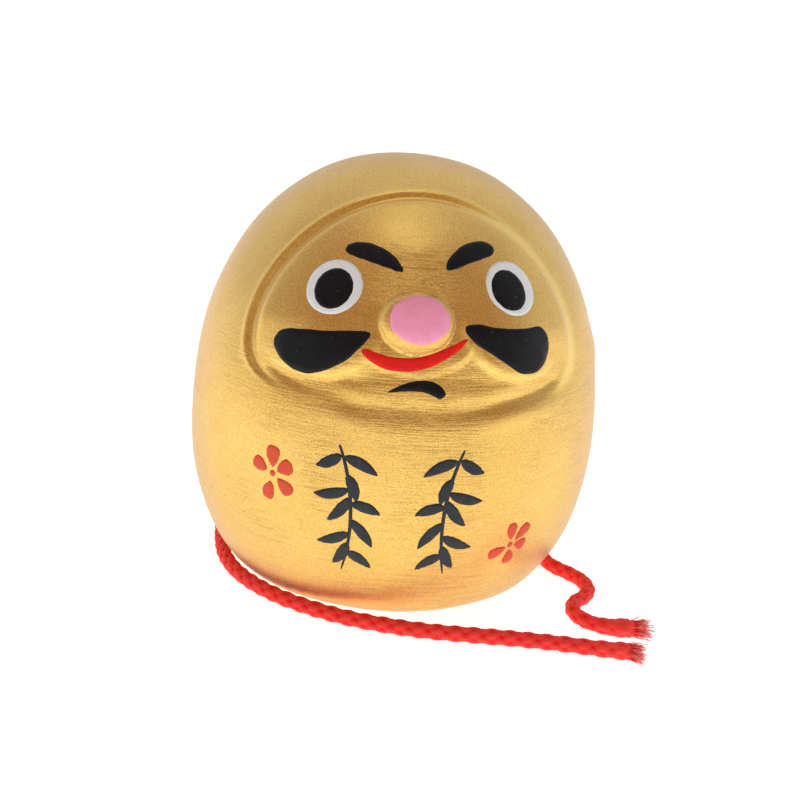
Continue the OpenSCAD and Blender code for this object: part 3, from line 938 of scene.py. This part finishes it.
def blossom(petals, seed):
    """A dot and petals of (direction, inner end, outer end, half width)."""
    marks = [oval(0.42, 0.42, steps=40)]
    for i, (direction, inner, outer, half_w) in enumerate(petals):
        petal = stroke((outer, 0), ((inner + outer) / 2, 0.1), (inner, 0), half_w, 0.36, 0.75)
        marks.append(turned(hand_drawn(petal, 0.05, seed + i), direction))
    return marks


STEM = ((-1.2, 8.6), (2.2, 1.0), (-0.4, -8.4))
# Leaves: (x, y) of the root, direction, length
LEAVES = [
    (-0.9, 7.4, -150, 3.6), (-0.5, 7.2, -25, 4.6), (0, 5.0, -68, 3.6),
    (0.3, 3.2, -165, 4.6), (0.5, 2.2, -128, 4.4), (0.7, 1.4, -18, 3.8),
    (0.6, -0.8, -52, 4.6), (0.5, -2.6, -155, 4.4), (0.4, -4.0, -118, 4.0),
    (0.2, -5.4, -35, 3.8)]


def sprig(mirror):
    """A curved stem with leaves, as on bamboo."""
    marks = [stroke(*STEM, 0.24, 0.2, 0.3)]
    for i, (x, y, direction, length) in enumerate(LEAVES):
        leaf = stroke((0, 0), (length / 2, 0.12 * length), (length, 0), 0.72, 0.6, 0.8)
        marks.append(turned(hand_drawn(leaf, 0.04, 40 + i), direction, (x, y)))
    return [m * (-1, 1) if mirror else m for m in marks]


MOUSTACHE_LEFT = [
    (-6.3, 0.9), (-5.2, 1.9), (-2.5, 2.3), (1, 2.6), (5.7, 3.2), (5, 1.2), (3.2, -0.9),
    (0, -2.6), (-2.6, -2.7), (-5, -1.6), (-6.3, -0.2)]
MOUSTACHE_RIGHT = [
    (-6.1, 2.9), (-4.9, 3.3), (-2, 2.7), (1.4, 2.4), (4.6, 2.5), (6, 0.9), (5.6, -1.3),
    (4, -2.8), (1.2, -3), (-2, -1.2), (-5.2, 1.2)]
# Petals: direction, inner end, outer end, half width
PETALS_LEFT = [
    (90, 0.8, 3.6, 1.0), (158, 0.9, 3.2, 0.95), (256, 1.1, 3.6, 0.9), (322, 0.9, 3.5, 0.95),
    (30, 0.8, 3.2, 1.0)]
PETALS_RIGHT = [
    (96, 0.8, 3.3, 0.8), (44, 0.9, 3.7, 0.85), (350, 0.7, 2.7, 0.85), (278, 0.8, 3.1, 0.85),
    (203, 0.7, 3.3, 0.85)]
# Each mark's place is an azimuth in degrees from the nose and a height
EYE_LEFT = (-26.8, 43.2)
EYE_RIGHT = (28.2, 44.1)


def make_marks():
    white, ink = (WHITE, "white_paint"), (INK, "ink_paint")
    blossoms, sprigs = (BLOSSOM, "blossom_paint"), (SPRIG, "sprig_paint")
    paint("eye_white_left", *EYE_LEFT, [hand_drawn(oval(3.55, 3.5), 0.04, 1)], *white)
    paint("eye_white_right", *EYE_RIGHT, [hand_drawn(oval(3.55, 3.55), 0.04, 2)], *white)
    pupil = oval(2.42, 2.6, (0.05, -0.25))
    paint("pupil_left", *EYE_LEFT, [hand_drawn(pupil, 0.03, 3)], *ink, layer=1)
    pupil = oval(2.5, 2.65, (-0.45, -0.3))
    paint("pupil_right", *EYE_RIGHT, [hand_drawn(pupil, 0.03, 4)], *ink, layer=1)
    brow = stroke((-3.4, 0.7), (0.3, 0.9), (4.1, -1.6), 1.15, 0.45, 0.6)
    paint("eyebrow_left", -17.4, 47.0, [hand_drawn(brow, 0.05, 5)], *ink)
    brow = stroke((3.5, 1.1), (0.2, 1.2), (-3.4, -1.8), 1.25, 0.4, 0.5)
    paint("eyebrow_right", 15.8, 47.6, [hand_drawn(brow, 0.05, 6)], *ink)
    paint("moustache_left", -27.2, 35.9, [hand_drawn(blot(MOUSTACHE_LEFT), 0.04, 7)], *ink)
    paint("moustache_right", 25.3, 37.3, [hand_drawn(blot(MOUSTACHE_RIGHT), 0.04, 8)], *ink)
    mouth = stroke((-6.1, 1.1), (-0.4, -2.7), (6.3, 3.1), 0.8, 0.35, 0.5)
    paint("mouth_paint", -2.2, 35.9, [hand_drawn(mouth, 0.03, 9)], RED, "red_paint")
    chin = stroke((-3.9, -0.4), (1.0, 1.6), (2.7, -0.7), 0.75, 0.7, 0.3)
    paint("chin_mark", 0.1, 32.7, [hand_drawn(chin, 0.03, 10)], *ink)
    paint("nose_paint", -1.3, 40.4, [hand_drawn(oval(3.6, 2.9), 0.05, 11)], PINK, "pink_paint")
    paint("blossom_left", -36.8, 20.0, blossom(PETALS_LEFT, 20), *blossoms)
    paint("blossom_right", 29.9, 12.0, blossom(PETALS_RIGHT, 30), *blossoms)
    paint("leaf_sprig_left", -16.5, 16.8, sprig(False), *sprigs)
    paint("leaf_sprig_right", 9.8, 17.0, sprig(True), *sprigs)


make_marks()


# ---------------------------------------------------------------- the pellet

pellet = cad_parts["pellet"]
pellet.data.materials.clear()
pellet.data.materials.append(CLAY)


# ---------------------------------------------------------------- floor and light

# In metres
FLOOR_SIZE = 40.0
# The floor glows like a light table up to FLOOR_BRIGHT_Y in front of the doll, and less from
# there to FLOOR_DIM_Y
FLOOR_BRIGHT_Y = -350.0
FLOOR_DIM_Y = -900.0
FLOOR_GLOW = 0.84
FLOOR_DIM_GLOW = 0.04
# The room is dimmest this way: in front, a little to the left, and above
DIM_SIDE = (-0.16, -0.92, 0.36)
# Its colour by half of one plus the cosine to the dim side
ROOM_STOPS = ((0.28, (0.84, 0.87, 0.93)), (0.52, (0.61, 0.59, 0.62)), (0.72, (0.43, 0.260, 0.175)))
HORIZON_STOPS = ((0.55, (1.02, 1.02, 1.03)), (0.85, (0.55, 0.50, 0.46)))
# Sines of the heights between which the horizon's band fades out
BAND_FULL = 0.06
BAND_GONE = 0.12


def make_stage():
    """A plain pale floor."""
    # """A pale floor that glows, brighter near the doll than far in front."""
    n = Nodes("floor")
    split = n.add("ShaderNodeSeparateXYZ", Vector=n.place())
    glow = n.add("ShaderNodeMapRange", Value=split.outputs["Y"])
    for socket, value in (("From Min", FLOOR_DIM_Y), ("From Max", FLOOR_BRIGHT_Y),
                          ("To Min", FLOOR_DIM_GLOW), ("To Max", FLOOR_GLOW)):
        glow.inputs[socket].default_value = value
    n.shade(Base_Color=(0.86, 0.86, 0.87, 1), Roughness=0.9, Emission_Color=(1, 1, 1, 1),
            Emission_Strength=glow.outputs["Result"])
    h = FLOOR_SIZE / 2
    mesh = bpy.data.meshes.new("floor")
    mesh.from_pydata([(-h, -h, 0), (h, -h, 0), (h, h, 0), (-h, h, 0)], [], [(0, 1, 2, 3)])
    mesh.materials.append(n.material)
    floor = bpy.data.objects.new("floor", mesh)
    bpy.context.collection.objects.link(floor)
    floor.location.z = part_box("back_shell")[0][2] - 0.02 * MM


def colour_ramp(tree, stops):
    """A ramp with two or three stops of (position, colour)."""
    ramp = tree.nodes.new("ShaderNodeValToRGB")
    while len(ramp.color_ramp.elements) < len(stops):
        ramp.color_ramp.elements.new(stops[1][0])
    for element, (place, colour) in zip(ramp.color_ramp.elements, stops):
        element.position = place
        element.color = (*colour, 1)
    return ramp


def make_world():
    """A white sweep behind and beside the doll, and a dimmer room in front and above."""
    world = bpy.data.worlds.new("studio")
    world.use_nodes = True
    bpy.context.scene.world = world
    tree = world.node_tree
    coords = tree.nodes.new("ShaderNodeTexCoord")
    towards = tree.nodes.new("ShaderNodeVectorMath")
    towards.operation = "DOT_PRODUCT"
    towards.inputs[1].default_value = DIM_SIDE
    half = tree.nodes.new("ShaderNodeMath")
    half.operation = "MULTIPLY_ADD"
    half.inputs[1].default_value = 0.5
    half.inputs[2].default_value = 0.5
    room = colour_ramp(tree, ROOM_STOPS)
    # A narrow band at the horizon is as white as the floor, and as dim as it in front
    horizon = colour_ramp(tree, HORIZON_STOPS)
    split = tree.nodes.new("ShaderNodeSeparateXYZ")
    band = tree.nodes.new("ShaderNodeMapRange")
    band.inputs["From Min"].default_value = BAND_GONE
    band.inputs["From Max"].default_value = BAND_FULL
    mix = tree.nodes.new("ShaderNodeMix")
    mix.data_type = "RGBA"
    first, second = (next(s for s in mix.inputs if s.name == name and s.type == "RGBA")
                     for name in ("A", "B"))
    mixed = next(s for s in mix.outputs if s.type == "RGBA")
    background = tree.nodes["Background"]
    for source, target in ((coords.outputs["Generated"], towards.inputs[0]),
                           (coords.outputs["Generated"], split.inputs["Vector"]),
                           (split.outputs["Z"], band.inputs["Value"]),
                           (band.outputs["Result"], mix.inputs["Factor"]),
                           (towards.outputs["Value"], half.inputs[0]),
                           (half.outputs["Value"], room.inputs["Fac"]),
                           (half.outputs["Value"], horizon.inputs["Fac"]),
                           (room.outputs["Color"], first),
                           (horizon.outputs["Color"], second),
                           (mixed, background.inputs["Color"])):
        tree.links.new(source, target)
    background.inputs["Strength"].default_value = 1.0


def area_light(name, place, size, power, colour):
    """A round soft lamp that looks at the middle of the doll; its place and size in metres."""
    data = bpy.data.lights.new(name, "AREA")
    data.shape = "DISK"
    data.size = size
    data.energy = power
    data.color = colour
    lamp = bpy.data.objects.new(name, data)
    bpy.context.collection.objects.link(lamp)
    lamp.location = place
    aim = Vector((0, 0, BODY_H / 2 * MM)) - lamp.location
    lamp.rotation_euler = aim.to_track_quat("-Z", "Y").to_euler()


make_stage()
make_world()
area_light("front_light", (-0.02, -0.11, 0.57), 0.35, 0.34, (0.82, 0.92, 1.0))
bpy.context.scene.view_settings.view_transform = "Standard"
